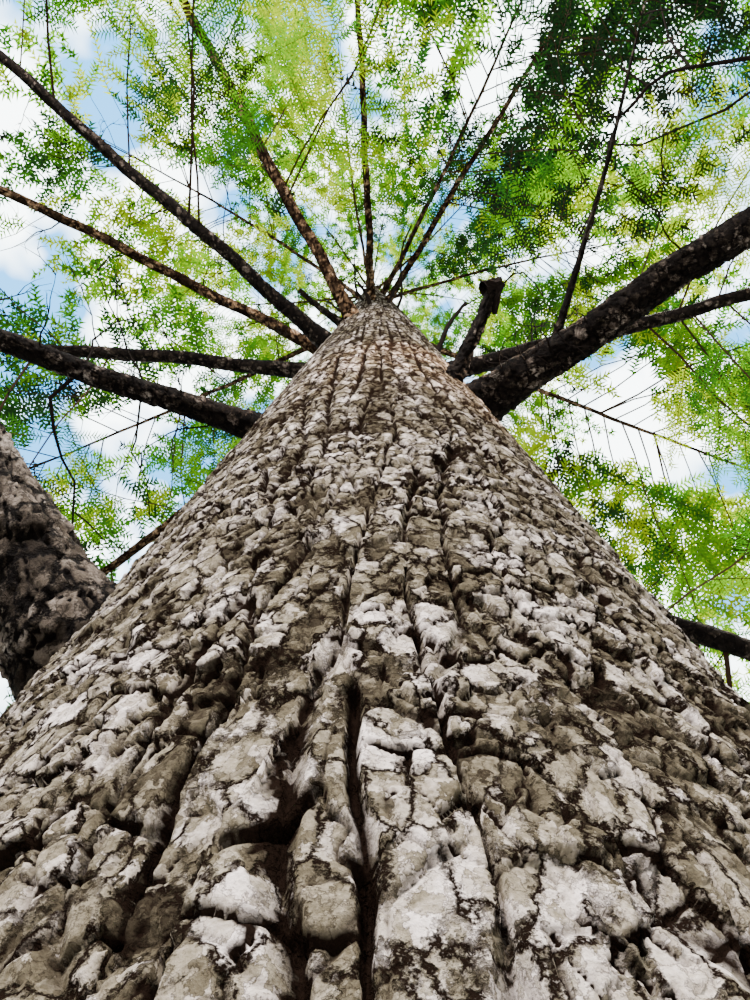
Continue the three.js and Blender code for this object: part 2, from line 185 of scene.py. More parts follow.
def number_stream(seed):
    state = seed
    while True:
        state = state * 48271 % 2147483647
        yield state / 2147483647


# The source's rule for the trunk and the limbs


def trunk_centre(height):
    height = np.asarray(height, float)
    share = height / TREE_HEIGHT
    nodding = np.maximum(0, height - TREE_HEIGHT + NOD_LENGTH) / NOD_LENGTH
    x = LEAN_X * share**2 + SWAY * share * np.sin(SWAY_WAVES * share) + NOD * nodding**2
    return np.stack([x, LEAN_Y * share**2, height], -1)


def stem_radius(height):
    return np.maximum(TRUNK_TIP_RADIUS, TRUNK_TAPER * (TREE_HEIGHT - np.asarray(height, float)))


def trunk_radius(height, angle):
    lobes = 1 + LOBE_DEPTH * np.cos(FLARE_LOBES * angle + LOBE_TURN)
    return stem_radius(height) + FLARE_SPREAD * np.exp(-height / FLARE_HEIGHT) * lobes


def limb_point(limb, along):
    along = np.asarray(along, float)
    turn = math.radians(limb["heading"])
    share = along / limb["reach"]
    aside = limb["bow"] * np.sin(np.pi * share)
    x = along * math.cos(turn) - aside * math.sin(turn)
    y = along * math.sin(turn) + aside * math.cos(turn)
    z = along * limb["rise"] - limb["sag"] * limb["reach"] * share**2
    return limb["root"] + np.stack([x, y, z], -1)


def limb_frame(ahead):
    """The level way across each of these ways, and the way over it."""
    across = unit(np.cross(UP, ahead))
    return across, np.cross(ahead, across)


def limb_radius(limb, along):
    share = along / limb["reach"]
    clear = np.maximum(0, along - limb["buried"])
    collar = 1 + COLLAR_SWELL * np.exp(-clear / COLLAR_LENGTH)
    return limb["radius"] * blend(1, limb.get("tip", LIMB_TIP_SHARE), share) * collar


def crown_reach(height):
    share = min(1, (TREE_HEIGHT - height) / (TREE_HEIGHT - CROWN_WIDEST))
    return CROWN_RADIUS * share**CROWN_CURVE


def limb_from_trunk(keys, row):
    """A limb that starts halfway from the middle of the trunk to its side."""
    limb = dict(zip(keys, row))
    buried = float(stem_radius(limb["height"])) / 2
    turn = math.radians(limb["at"])
    aside = np.array([math.cos(turn) * buried, math.sin(turn) * buried, 0])
    return {**limb, "root": trunk_centre(limb["height"]) + aside, "buried": buried}


def all_limbs():
    limbs = [limb_from_trunk(LIMB_KEYS, row) for row in BOUGH_ROWS]
    for limb in limbs:
        limb["foliage_from"] = limb["bare"] + LOWER_ENTRY
        limb["width"] = LOWER_WIDTH
    parent = next(limb for limb in limbs if limb["name"] == SIDE_PARENT)
    side = dict(zip(LIMB_KEYS, SIDE_ROW), root=limb_point(parent, SIDE_LEAVES), buried=0)
    limbs.append({**side, "foliage_from": side["bare"] + SIDE_ENTRY, "width": SIDE_WIDTH})
    for number in range(CROWN_MASSES):
        share = number / (CROWN_MASSES - 1)
        height = blend(CROWN_LOW, CROWN_HIGH, share**CROWN_CLOSING)
        reach = crown_reach(height)
        at = number * GOLDEN_TURN + FIRST_TURN
        form = (blend(24, 8, share), blend(0.3, 0.8, share), blend(0.42, 0.55, share))
        bow = CROWN_BOW if number % 2 == 0 else -CROWN_BOW
        limb = limb_from_trunk(LIMB_KEYS, (f"crown_{number + 1:02d}", height, at, at, *form, bow, reach, 0))
        limb["foliage_from"] = reach * blend(0.3, 0.2, share)
        limb["width"] = blend(0.62, 0.75, share)
        limbs.append(limb)
    for number, limb in enumerate(limbs, 1):
        limb["number"] = number
    return limbs


def nodes(kind, limbs):
    return [f"{kind}_{limb['name']}" for limb in limbs]


def named(name):
    return [limb for limb in LIMBS if limb["name"] == name]


LIMBS = all_limbs()
BARE_LIMBS = [limb for limb in LIMBS if limb["bare"]]
SHARES = np.arange(SPACE_STEPS + 1) / SPACE_STEPS
BARE_LINES = np.array([limb_point(limb, limb["foliage_from"] * SHARES) for limb in LIMBS])
LEAFY_LINES = np.array([
    limb_point(limb, blend(limb["foliage_from"], limb["reach"], SHARES)) for limb in LIMBS
])
RADII = np.array([limb["radius"] for limb in LIMBS], float)
FOLIAGE_STARTS = np.array([limb["foliage_from"] for limb in LIMBS], float)


def line_distances(lines, points):
    """How far each point is from each of the lines."""
    starts = lines[:, :-1].reshape(-1, 3)
    spans = (lines[:, 1:] - lines[:, :-1]).reshape(-1, 3)
    squares = (spans**2).sum(-1)
    found = []
    for chunk in np.array_split(points, max(1, len(points) // 4000)):
        apart = chunk[:, None] - starts
        share = np.clip((apart * spans).sum(-1) / squares, 0, 1)
        far = np.linalg.norm(apart - share[..., None] * spans, axis=-1)
        found.append(far.reshape(len(chunk), len(lines), -1).min(-1))
    return np.concatenate(found)


def in_own_space(masses, points, clearance):
    """Whether each point is nearer to the leafy part of its mass's limb than to any other's, clear of the
    bare parts of the others, and off the trunk and the ground."""
    centres = trunk_centre(points[:, 2])
    from_trunk = np.hypot(points[:, 0] - centres[:, 0], points[:, 1] - centres[:, 1])
    trunk_side = stem_radius(points[:, 2]) + FOLIAGE_STARTS[masses] * TRUNK_SHARE
    near_trunk = (points[:, 2] < TREE_HEIGHT) & (from_trunk < trunk_side)
    rows = np.arange(len(points))
    leafy = line_distances(LEAFY_LINES, points)
    own = leafy[rows, masses] + SPACE_MARGIN
    leafy = leafy - RADII
    leafy[rows, masses] = np.inf
    bare = line_distances(BARE_LINES, points) - RADII
    bare[rows, masses] = np.inf
    return ~near_trunk & (leafy.min(-1) > own) & (bare.min(-1) > clearance) & (points[:, 2] > 0)


def twig_rule(limb, share, side, draw):
    """One twig of a limb: where it starts, the way it runs, the way its spray lies flat, and its length."""
    foliage_length = limb["reach"] - limb["foliage_from"]
    spread = blend(*SPREAD, share) + SPREAD_JITTER * (next(draw) - 0.5)
    plump = blend(PLUMP_LEAST, 1, math.sin(math.pi * min(1, PLUMP_START + PLUMP_RUN * share)))
    length = limb["width"] * foliage_length * plump * blend(*LENGTHS, next(draw))
    slope = limb["rise"] * RISE_KEPT - blend(*DROOP, next(draw))
    turn = math.radians(limb["heading"] + side * spread)
    start = limb_point(limb, limb["foliage_from"] + share * foliage_length)
    ahead = unit(np.array([math.cos(turn), math.sin(turn), slope]))
    tilt = math.radians(ROLL * (next(draw) - 0.5))
    level, over = limb_frame(ahead)
    return start, ahead, level * math.cos(tilt) + over * math.sin(tilt), length


SPRAY_OUTLINE = np.array(
    [(1, 0), (0.69, 0.37), (0.52, 0.19), (0.33, 0.5), (0, 0), (0.33, -0.5), (0.52, -0.19), (0.69, -0.37)]
    + [(step / SPACE_STEPS, 0) for step in range(1, SPACE_STEPS)]
)


def fitted_length(mass, start, ahead, across, offset, length):
    """The length of the spray that fits its mass's space, or 0."""
    root = start + ahead * offset
    stalk = start + np.array(STALK_PLACES)[:, None] * (root - start)
    for size in SPRAY_SIZES:
        grown = length * size
        outline = root + SPRAY_OUTLINE @ np.array([ahead, across * SPRAY_WIDTH]) * grown
        tested = np.concatenate([outline, stalk])
        if in_own_space(np.full(len(tested), mass), tested, BARE_MARGIN + BARE_SHARE * grown).all():
            return grown
    return 0


def main_twigs():
    """Every limb's twigs: those of the solids by the same stream of numbers, then those between them."""
    rows = []
    for mass, limb in enumerate(LIMBS):
        foliage_length = limb["reach"] - limb["foliage_from"]
        count = min(TWIG_MOST, max(TWIG_LEAST, round(foliage_length / TWIG_SPACING)))
        draw = number_stream(SEED + 7919 * limb["number"])
        shift = number_stream(SEED + 31 * limb["number"])
        places = [((number + FIRST_TWIG) / count, (-1) ** number, 1) for number in range(count)]
        between = BETWEEN.get(limb["name"], BETWEEN_LOW if limb["bare"] else BETWEEN_HIGH)
        for number in range(between):
            places.append(((number + next(shift)) / between, -((-1) ** number), BETWEEN_LENGTH))
        for share, side, size in places:
            start, ahead, across, full = twig_rule(limb, share, side, draw)
            for shrunk in SHRUNK if size < 1 else (1,):
                length = full * size * shrunk
                spray = fitted_length(mass, start, ahead, across, length * TWIG_BARE, length * SPRAY_LENGTH)
                if spray:
                    rows.append((mass, start, ahead, across, length * TWIG_BARE + spray))
                    break
        tip = limb_point(limb, limb["reach"])
        ahead = unit(tip - limb_point(limb, limb["reach"] * LEADER_AIM))
        across, _ = limb_frame(ahead)
        leader = limb["width"] * foliage_length
        spray = fitted_length(mass, tip, ahead, across, -leader * LEADER_BACK, leader)
        if spray:
            rows.append((mass, tip - ahead * leader * LEADER_BACK, ahead, across, spray))
    keys = ("mass", "start", "ahead", "across", "length")
    return {key: np.array(values) for key, values in zip(keys, zip(*rows))}


# Finer growth: each row of stems carries the next, by turns to its left and its right


KINKS = 11


def stem_point(stems, share):
    """Points along the stems, which sag, bend to one side and waver."""
    share = np.asarray(share)
    waver = stems["kink"] * share * (1 - 0.6 * share) * np.sin(KINKS * share + stems["phase"])
    aside = (stems["bend"] * share**2 + waver)[..., None]
    down = (stems["sag"] * share**2 + 0.6 * waver)[..., None]
    length = stems["length"][..., None]
    return stems["start"] + (stems["ahead"] * share[..., None] + stems["across"] * aside - UP * down) * length


def stem_frame(stems, share):
    """The stems' way at a share of their length, and the ways across it and over it."""
    bend = (2 * stems["bend"] * share)[..., None]
    sag = (2 * stems["sag"] * share)[..., None]
    way = unit(stems["ahead"] + stems["across"] * bend - UP * sag)
    across = unit(stems["across"] - way * (stems["across"] * way).sum(-1, keepdims=True))
    return way, across, np.cross(way, across)


def bends(count, bend, kink, random):
    return {
        "bend": bend * random.uniform(-1, 1, count),
        "kink": np.full(count, kink),
        "phase": random.uniform(0, 6.28, count),
    }


def seen_from_foot(points):
    """How far across and up each point lies from the line of finest growth, as shares of the way along it."""
    apart = points - FINE_EYE
    along = np.maximum((apart * FINE_WAY).sum(-1), 250)
    return apart[..., 0] / along, (apart * FINE_UP).sum(-1) / along


def coarseness(points):
    """How many times larger than life the growth is at each point."""
    across, up = seen_from_foot(points)
    off = smooth_step(1.08, 1.6, np.maximum(np.abs(across) / FINE_WIDTH, np.abs(up) / FINE_HEIGHT))
    near = np.clip(np.linalg.norm(points - FINE_EYE, axis=-1) / FINE_REACH, 1, COARSEST)
    return np.clip(near * blend(1, COARSER_ASIDE, off), 1, COARSEST * 1.15)


def left_at_gaps(stems, random):
    """Whether each stem is kept, by how near its middle is to a gap."""
    across, up = seen_from_foot(stem_point(stems, 0.5))
    chance = np.ones(len(across))
    for gap_across, gap_up, size, left in GAPS:
        far = np.hypot(across - gap_across, up - gap_up)
        chance = np.minimum(chance, blend(left, 1, smooth_step(0.7 * size, 1.3 * size, far)))
    return random.uniform(0, 1, len(chance)) < chance


def clear(stems):
    """Whether each stem ends in its mass's own space."""
    return in_own_space(stems["mass"], stem_point(stems, 1), BARE_MARGIN)


def taken(stems, rows):
    return {key: values[rows] for key, values in stems.items()}


def along_stems(stems, step, bare, random=None):
    """Places along stems past their bare foot, uneven where random is given: each one's stem, its share of
    the stem's length, its side, and the stem's frame there."""
    counts = np.maximum(2, (stems["length"] * (1 - bare) / step).astype(int))
    rows = np.repeat(np.arange(len(counts)), counts)
    place = np.arange(len(rows)) - np.repeat(np.cumsum(counts) - counts, counts)
    within = random.uniform(0.1, 0.9, len(rows)) if random else 0.5
    share = bare + (1 - bare) * (place + within) / counts[rows]
    parents = taken(stems, rows)
    return parents, share, np.where(place % 2 == 0, 1.0, -1.0), *stem_frame(parents, share)


# Lengths of side stems, as shares of their stem's: the most, the power by which they shorten to its tip, the
# part that is left at its foot, how far from the foot they are full, and the least
SPRAY_FORM = (0.42, 0.8, 0.35, 0.25, 0)
SIDE_FORM = (0.4, 0.7, 0.4, 0.2, 0.04)


def leaving(way, across, over, angle, lift):
    """Ways that leave a stem's own at these angles to its side and are lifted off its plane."""
    return unit(way * np.cos(angle)[:, None] + across * np.sin(angle)[:, None] + over * lift[:, None])


def side_stems(stems, spacing, bare, angles, form, longest, sag, jitter, random):
    """Stems that leave others alternately to both sides."""
    parents, share, side, way, across, over = along_stems(stems, spacing * stems["closer"], bare, random)
    count = len(share)
    angle = np.radians(blend(*angles, share) + jitter * random.uniform(-1, 1, count))
    tilt = 0.02 * jitter * random.uniform(-1, 1, count)
    ahead = leaving(way, across, over, side * angle, tilt)
    most, curve, foot, full, least = form
    outline = most * (1 - share) ** curve * blend(foot, 1, np.minimum(1, share / full)) + least
    length = np.minimum(parents["length"] * outline, longest * parents["coarse"])
    start = stem_point(parents, share)
    return {
        "mass": parents["mass"],
        "start": start,
        "ahead": ahead,
        "across": unit(np.cross(over, ahead)),
        "length": length * random.uniform(0.7, 1.12, count),
        "sag": np.full(count, sag),
        "shade": parents["shade"],
        "closer": parents["closer"],
        "coarse": coarseness(start),
        **bends(count, 0.16, 0.03, random),
    }


def needle_corners(stems, spacing, bare, random):
    """Needles in two ranks along stems, four points each. The last two meet unless the needle is near."""
    step = spacing * stems["coarse"] * (1 + 0.12 * (stems["coarse"] - 1))
    parents, share, side, way, across, over = along_stems(stems, step, bare)
    count = len(share)
    lean = np.radians(blend(70, 42, share**2) + random.uniform(-6, 6, count))
    lift = random.uniform(-0.12, 0.14, count)
    ahead = leaving(way, across, over, side * lean, lift)
    flat = unit(np.cross(over, ahead) + over * random.uniform(-0.3, 0.3, count)[:, None])
    coarse = parents["coarse"]
    length = NEEDLE_LENGTH * coarse * (1 - 0.45 * share**4) * random.uniform(0.82, 1.12, count)
    near = coarse < NEAR_COARSE
    half = NEEDLE_WIDTH * coarse * np.where(near, 0.95, 1 + 0.42 * (coarse - 1)) / 2
    aside = flat * half[:, None]
    blunt = aside * np.where(near, 0.7, 0)[:, None]
    foot = stem_point(parents, share)
    tip = foot + ahead * length[:, None]
    points = np.stack([foot + aside, foot - aside, tip - blunt, tip + blunt], 1)
    return points, parents["mass"], parents["shade"], near


# Meshes


def placed(name, data):
    made = bpy.data.objects.new(name, data)
    bpy.context.scene.collection.objects.link(made)
    return made


def new_piece(name, points, faces, made_of, slot, replaced, smooth=False):
    """A mesh from arrays of points in millimetres and of faces, which have as many corners each."""
    mesh = bpy.data.meshes.new(name)
    mesh.vertices.add(len(points))
    mesh.vertices.foreach_set("co", (points * MM).astype(np.float32).ravel())
    mesh.loops.add(faces.size)
    mesh.loops.foreach_set("vertex_index", faces.astype(np.int32).ravel())
    mesh.polygons.add(len(faces))
    mesh.polygons.foreach_set("loop_start", np.arange(0, faces.size, faces.shape[1], dtype=np.int32))
    mesh.polygons.foreach_set("use_smooth", np.full(len(faces), smooth))
    mesh.update(calc_edges=True)
    mesh.materials.append(made_of)
    piece = placed(name, mesh)
    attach(piece, "root")
    if replaced:
        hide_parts(*replaced)
    return piece


def grid_faces(rows, columns):
    """Four-sided faces over a grid of points that is joined round its columns."""
    across = np.arange(columns)
    row = np.arange(rows - 1)[:, None] * columns
    start = row + across
    beside = row + (across + 1) % columns
    return np.stack([start, beside, beside + columns, start + columns], -1).reshape(-1, 4)


def tubes(centres, across, over, radii, sides):
    """Tubes round rows of points, with a radius for each ring or for each point of it."""
    count, stations, _ = centres.shape
    angles = np.arange(sides) * 2 * np.pi / sides
    around = across[:, :, None] * np.cos(angles)[:, None] + over[:, :, None] * np.sin(angles)[:, None]
    points = centres[:, :, None] + around * radii[..., None]
    firsts = np.arange(count) * stations * sides
    faces = grid_faces(stations, sides) + firsts[:, None, None]
    return points.reshape(-1, 3), faces.reshape(-1, 4)


def stem_tubes(stems, radius, tip_share, steps):
    """Three-sided tapering stems."""
    shares = np.linspace(0, 1, steps + 1)
    centres = np.stack([stem_point(stems, share) for share in shares], 1)
    _, across, over = np.stack([stem_frame(stems, share) for share in shares], 2)
    thick = radius[:, None] * blend(1, tip_share, shares)
    return tubes(centres, across, over, thick[..., None], 3)


def joined(parts):
    """One set of arrays from several, with the faces' numbers moved on."""
    points, faces, *others = zip(*parts)
    firsts = np.cumsum([0] + [len(part) for part in points[:-1]])
    faces = [part + first for part, first in zip(faces, firsts)]
    return [np.concatenate(arrays) for arrays in (points, faces, *others)]


def spaced(start, *runs):
    """Places from a start on at changing steps: each run is its end and its step."""
    places = [start]
    for end, step in runs:
        count = max(1, round((end - places[-1]) / step))
        places.extend(places[-1] + (end - places[-1]) * np.arange(1, count + 1) / count)
    return np.array(places)


# Patterns of the bark


def scatter(x, y, seed):
    """A number from 0 to 1 for each pair of whole numbers."""
    mixed = (x.astype(np.int64) * 73856093) ^ (y.astype(np.int64) * 19349663) ^ (seed * 83492791)
    mixed = (mixed ^ (mixed >> 13)) * 1274126177 & 0xFFFFFFFF
    mixed = (mixed ^ (mixed >> 16)) * 2246822519 & 0xFFFFFFFF
    return ((mixed ^ (mixed >> 15)) & 0xFFFFFF) / 0xFFFFFF


def waves(x, y, columns, seed):
    """Smooth noise from -1 to 1 that repeats after so many columns in x."""
    left, low = np.floor(x), np.floor(y)
    across, up = smooth_step(0, 1, x - left), smooth_step(0, 1, y - low)

    def row(y):
        return blend(scatter(left % columns, y, seed), scatter((left + 1) % columns, y, seed), across)

    return 2 * blend(row(low), row(low + 1), up) - 1


def cells(x, y, columns, seed):
    """Uneven cells, one to a unit square, repeating after so many columns. For each point: its cell's tone,
    how high in the cell it lies, how far the edge is, how level that runs, and the edge's own number."""
    column, row = np.floor(x), np.floor(y)
    best = second = np.full(x.shape, 9.0)
    kept = other = np.zeros((3, *x.shape))
    for j in (-1, 0, 1):
        for i in (-1, 0, 1):
            ix, iy = column + i, row + j
            wrapped = ix % columns
            aside = x - (ix + 0.25 + 0.45 * (iy % 2) + 0.62 * (scatter(wrapped, iy, seed) - 0.5))
            up = y - (iy + 0.5 + 0.9 * (scatter(wrapped, iy, seed + 1) - 0.5))
            far = np.hypot(aside, up)
            nearer = far < best
            next_best = ~nearer & (far < second)
            second = np.where(nearer, best, np.where(next_best, far, second))
            best = np.where(nearer, far, best)
            here = np.stack([scatter(wrapped, iy, seed + 2), up, aside])
            other = np.where(nearer, kept, np.where(next_best, here, other))
            kept = np.where(nearer, here, kept)
    rise, run = np.abs(kept[1:] - other[1:])
    pair = (kept[0] + other[0]) * 7.31 % 1
    return kept[0], kept[1], second - best, rise / (rise + run + 1e-6), pair


# Widths and lengths of the ridges and of the flakes on them, and the depth of the furrows between
TRUNK_PATTERN = {"width": 25, "length": 170, "flake": (12, 18), "depth": 9, "tilt": 1.8, "sway": 10}
LIMB_PATTERN = {"width": 17, "length": 22, "flake": (8, 9), "depth": 4.5, "tilt": 2.6, "sway": 4}


def bark_relief(turn, along, girth, pattern, scale=1.0, opened=1.0):
    """Ridged bark round a surface of this girth, where turn goes from 0 to 1: how far it stands out, how
    dark it is painted for its depth and its flakes' lips, and the tone of its flakes. The darkness is the
    furrows' own dark colour with painted shade that deepens with depth, painted shadow under the flakes'
    lips, and cracks dark partly of their own and partly as painted shade. Its furrows are opened so many
    times."""

    def fitted(width, least):
        return max(least, round(girth / (width * scale)))

    def noise(columns, spacing, seed):
        return waves(turn * columns, length / spacing, columns, seed)

    length = along / scale
    flake_width, flake_length = pattern["flake"]
    ridges = fitted(pattern["width"], 4)
    flakes = fitted(flake_width, 6)
    chips = flakes * 2
    shingles = round(flakes * 0.52)
    sways = fitted(75, 2)
    ripples = fitted(24, 4)
    sway = noise(sways, 190, 11)
    ripple = noise(ripples, 36, 12)
    ragged = noise(ripples * 3, 8, 14)
    grain = noise(ripples * 8, 3, 15)
    ridge = turn + (pattern["sway"] * sway + 3.5 * ripple + 0.4 * ragged) * scale / girth
    bent = ridge + 1.1 * ragged * scale / girth
    rough = 0.3 + smooth_step(-0.6, 0.5, noise(sways * 2, 60, 16))
    raised = length + 8 * noise(ripples, 30, 13) + 3 * ragged
    plate, _, edge, level, pair = cells(ridge * ridges, raised / pattern["length"], ridges, 21)
    furrow = np.clip(1 - edge / ((0.05 + 0.15 * pair**2) * opened), 0, 1) ** 0.8
    deep = furrow * (1 - 0.7 * level) * np.minimum(1, 0.3 + 1.1 * pair)
    upward = raised / flake_length
    flake, flake_up, flake_edge, _, lip = cells(bent * flakes + 0.15 * grain, upward, flakes, 31)
    upward = (raised + 2 * ragged) / flake_length * 2.1
    chip, chip_up, *_ = cells(bent * chips + 0.2 * ragged, upward, chips, 41)
    upward = (raised + 5 * ripple) / (3.1 * flake_length)
    shingle, shingle_up, shingle_edge, _, torn = cells(bent * shingles, upward, shingles, 51)
    split = (1 - smooth_step(0.01, 0.09, shingle_edge)) * torn
    crack = 1 - smooth_step(0.03, 0.17, flake_edge)
    # Painted shadow under each flake's lip, darkening the top of the flake below it
    painted_lip_shadow = smooth_step(0.0, 0.3, flake_up) * crack
    small = 2.2 * (flake - 0.5) - 1.6 * flake_up + 0.9 * (chip - 0.5) - 0.5 * chip_up - 2.0 * crack * lip
    out = (
        -pattern["depth"] * deep
        + 2.4 * (plate - 0.5)
        - pattern["tilt"] * shingle_up
        + 2.6 * (shingle - 0.5)
        - 2.0 * split
        + small * (1 - 0.3 * furrow) * rough
        + 0.3 * grain
    )
    # Darkness: the furrows' own dark plus painted shade with depth, painted lip shadow, cracks' painted shade
    dark = 0.9 * deep * (0.6 + 0.8 * chip) + (0.9 * painted_lip_shadow + 0.5 * crack) * lip * rough + 0.6 * split
    return out * scale, np.clip(dark, 0, 1), 0.5 * shingle + 0.32 * flake + 0.18 * chip


# Materials


def add(tree, kind, values=None, **settings):
    """A shader node with its settings and the values or links of its inputs."""
    made = tree.nodes.new("ShaderNode" + kind)
    for key, value in settings.items():
        setattr(made, key, value)
    for key, value in (values or {}).items():
        socket = made.inputs[key]
        if isinstance(value, bpy.types.NodeSocket):
            tree.links.new(value, socket)
        else:
            socket.default_value = (*value, 1) if socket.type == "RGBA" else value
    return made


def mix(tree, share, first, second, way="MIX"):
    values = {0: share, 6: first, 7: second}
    return add(tree, "Mix", values, data_type="RGBA", blend_type=way).outputs[2]


def ramp(tree, value, stops):
    made = add(tree, "ValToRGB", {"Fac": value})
    elements = made.color_ramp.elements
    while len(elements) < len(stops):
        elements.new(0.5)
    for element, (place, *colour) in zip(elements, stops):
        element.position = place
        element.color = (*colour, 1)
    return made.outputs["Color"]


def mask(tree, value, low, high, first=0, last=1):
    return ramp(tree, value, [(low, first, first, first), (high, last, last, last)])


def material(name, roughness, specular, colour=(0.8, 0.8, 0.8)):
    made = bpy.data.materials.new(name)
    made.use_nodes = True
    tree = made.node_tree
    tree.nodes.clear()
    output = add(tree, "OutputMaterial")
    values = {"Base Color": colour, "Roughness": roughness, "Specular IOR Level": specular}
    shader = add(tree, "BsdfPrincipled", values)
    tree.links.new(shader.outputs["BSDF"], output.inputs["Surface"])
    return made, tree, shader, output


def colour_and_bump(tree, shader, colour, height, strength, distance):
    tree.links.new(colour, shader.inputs["Base Color"])
    bump = add(tree, "Bump", {"Height": height, "Strength": strength, "Distance": distance})
    tree.links.new(bump.outputs["Normal"], shader.inputs["Normal"])


def bark_material(name, colours, dark, size, bump, wider, sheen):
    """Bark with ragged flakes of two sizes, each of its own tone and height. dark is the colour of furrows
    and cracks, partly their own and partly painted shade. The cracks between the flakes are so many times
    wider above 2.4 m, where the flakes are longer too."""
    made, tree, shader, _ = material(name, 0.85, sheen)
    # The furrow attribute is the painted darkness of the relief, painted shade and shadow included
    furrow = add(tree, "Attribute", attribute_name="furrow").outputs["Fac"]
    flake = add(tree, "Attribute", attribute_name="flake").outputs["Fac"]
    place = add(tree, "TexCoord").outputs["Object"]
    parts = add(tree, "SeparateXYZ", {"Vector": place}).outputs

    def calculate(operation, *values, kind="Math"):
        return add(tree, kind, dict(enumerate(values)), operation=operation).outputs[0]

    def total(start, *terms):
        """A start and the terms that are added to it, each a value and its weight."""
        for value, weight in terms:
            start = calculate("MULTIPLY_ADD", value, weight, start)
        return start

    def by_height(low, high, last):
        """1 up to the low height in metres, and from the high one on this last value."""
        values = {"Value": parts["Z"], 1: low, 2: high, 3: 1.0, 4: last}
        return add(tree, "MapRange", values).outputs[0]

    def noise(scale, detail, output="Fac"):
        values = {"Vector": place, "Scale": scale, "Detail": detail, "Roughness": 0.6}
        return add(tree, "TexNoise", values).outputs[output]

    def shifted(vector, scale, reach):
        centred = calculate("SUBTRACT", noise(scale, 3, "Color"), (0.5,) * 3, kind="VectorMath")
        return calculate("MULTIPLY_ADD", centred, (reach,) * 3, vector, kind="VectorMath")

    def flakes(vector, scale):
        values = {"Vector": vector, "Scale": scale}
        cell = add(tree, "TexVoronoi", values, feature="F1").outputs["Color"]
        edge = add(tree, "TexVoronoi", values, feature="DISTANCE_TO_EDGE").outputs["Distance"]
        tone = add(tree, "SeparateColor", {"Color": cell}).outputs["Red"]
        return tone, calculate("DIVIDE", edge, by_height(1.7, 2.4, wider))

    narrower = by_height(1.9, 2.8, 0.6)
    lower = calculate("MINIMUM", parts["Z"], 2.0)
    higher = calculate("SUBTRACT", calculate("MAXIMUM", parts["Z"], 2.0), 1.75)
    longer = total(0.0, (lower, 0.62), (calculate("LOGARITHM", higher, math.e), 0.16))
    level = {axis: calculate("MULTIPLY", parts[axis], narrower) for axis in "XY"}
    stretched = add(tree, "CombineXYZ", {**level, "Z": longer}).outputs["Vector"]
    ragged = shifted(shifted(stretched, 3.2 / size, 0.55 * size), 16 / size, 0.16 * size)
    large, large_edge = flakes(ragged, 1 / size)
    small, small_edge = flakes(shifted(ragged, 9 / size, 0.2 * size), 2.7 / size)
    grain = noise(560, 5)
    tone = total(-0.32, (large, 0.3), (small, 0.22), (flake, 0.3), (noise(17, 4), 0.5), (grain, 0.3))
    patchy = mask(tree, noise(60, 3), 0.34, 0.48)
    # Cracks between flakes, mixed to the dark colour: partly their own dark and partly painted shade
    large_crack = mask(tree, large_edge, 0.02, 0.08, 1, 0)
    small_crack = mask(tree, small_edge, 0.01, 0.08, 0.6, 0)
    colour = mix(tree, calculate("MULTIPLY", large_crack, patchy), ramp(tree, tone, colours), dark)
    colour = mix(tree, small_crack, colour, dark)
    # Painted darkness from the relief: furrow floors, painted shade and the shadow under the flakes' lips
    colour = mix(tree, mask(tree, furrow, 0.1, 0.55), colour, dark)
    height = total(0.0, (large, 0.9), (small, 0.7), (large_crack, -0.7), (grain, 0.7))
    colour_and_bump(tree, shader, colour, height, 1.0, bump)
    return made


def plain_wood(name, colour, second):
    made, tree, shader, _ = material(name, 0.85, 0.03)
    place = add(tree, "TexCoord").outputs["Object"]
    grain = add(tree, "TexNoise", {"Vector": place, "Scale": 90, "Detail": 4}).outputs["Fac"]
    colour_and_bump(tree, shader, mix(tree, grain, colour, second), grain, 0.7, 0.002)
    return made


def leaf_material(name, colour, through):
    """Needles of one shade, which let some light through."""
    made, tree, shader, output = material(name, 0.45, 0.12, colour)
    glow = add(tree, "BsdfTranslucent", {"Color": through})
    both = add(tree, "MixShader", {0: 0.5, 1: shader.outputs["BSDF"], 2: glow.outputs["BSDF"]})
    tree.links.new(both.outputs[0], output.inputs["Surface"])
    return made


# The needles' shades, each with the colour of the light that comes through: partly their own greens, old
# dark and new yellow-green, partly painted light, deep and dark as painted shade, bright and yellow as
# painted sunlight
SHADES = {
    "deep": ((0.002, 0.007, 0.002), (0.002, 0.012, 0.002)),
    "dark": ((0.006, 0.03, 0.005), (0.012, 0.07, 0.006)),
    "mid": ((0.02, 0.085, 0.004), (0.045, 0.2, 0.004)),
    "bright": ((0.07, 0.19, 0.003), (0.17, 0.4, 0.004)),
    "yellow": ((0.18, 0.25, 0.001), (0.38, 0.52, 0.001)),
}
# How sunny each mass is painted, from 0, all deep green, to 1, all yellow-green: painted sunlight and
# shade, besides the real spread of old and new growth
SUNNY = {
    "right_side": -0.02, "right": 0.15, "front_right": 0.3, "left": 0.35, "front_left": 0.85,
    "left_fork": 0.55, "left_long": 0.4, "level_left": 0.35, "right_upper": 0.65, "back_right": 0.8,
    "low_back": 0.8, "crown_01": 0.75, "crown_02": 0.5, "crown_03": 0.35, "crown_04": 0.8, "crown_08": 0.8,
    "crown_11": 0.4,
}
SUNNY_ELSEWHERE = 0.62

BARK = bark_material(
    "grey-brown furrowed bark",
    [
        (0.22, 0.028, 0.022, 0.015), (0.38, 0.105, 0.088, 0.06), (0.5, 0.25, 0.215, 0.165),
        (0.61, 0.47, 0.41, 0.365), (0.76, 0.78, 0.69, 0.665),
    ],
    (0.009, 0.0055, 0.004), 0.013, 0.0016, 2.5, 0,
)
